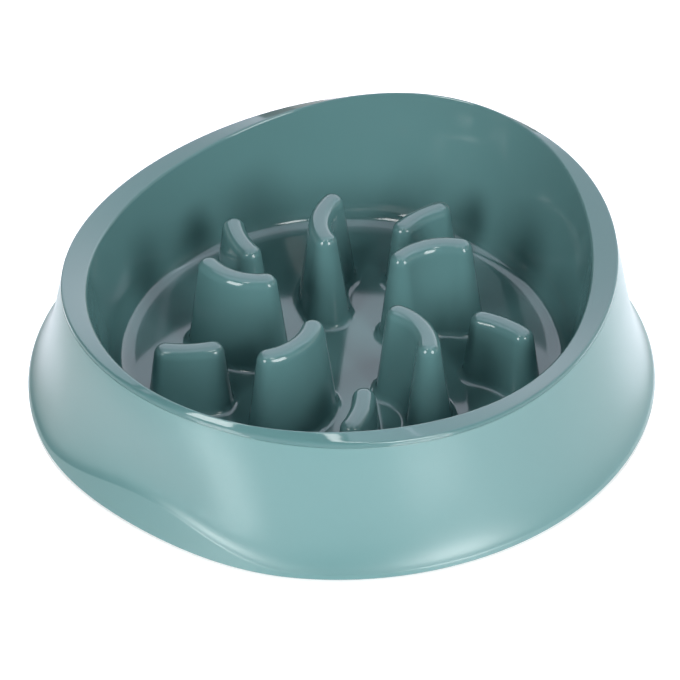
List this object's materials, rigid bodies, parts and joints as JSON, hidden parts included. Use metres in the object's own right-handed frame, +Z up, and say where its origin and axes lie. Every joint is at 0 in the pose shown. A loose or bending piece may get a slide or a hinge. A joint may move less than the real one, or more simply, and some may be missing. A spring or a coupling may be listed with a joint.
{
  "type": "slow feeder bowl",
  "caption": "Slow feeder pet bowl: glossy dish with bowed ridges and a saddle-shaped rim, in a flared satin skirt with finger lifts, on rubber feet.",
  "frame": {"origin": "on the bowl's axis, in the plane that the rubber feet stand on", "axes": "+Z up along the bowl's axis; -Y towards the front finger lift; +X to the right as seen from the front"},
  "size_m": [0.26, 0.2542, 0.0645],
  "materials": {
    "skirt_plastic": "satin teal",
    "bowl_plastic": "glossy teal",
    "foot_rubber": "matt dark grey"
  },
  "bodies": {
    "root": {"outer_skirt": "skirt_plastic", "inner_bowl": "bowl_plastic", "rubber_foot_1": "foot_rubber", "rubber_foot_2": "foot_rubber", "rubber_foot_3": "foot_rubber", "rubber_foot_4": "foot_rubber", "rubber_foot_5": "foot_rubber", "rubber_foot_6": "foot_rubber"}
  },
  "joints": []
}
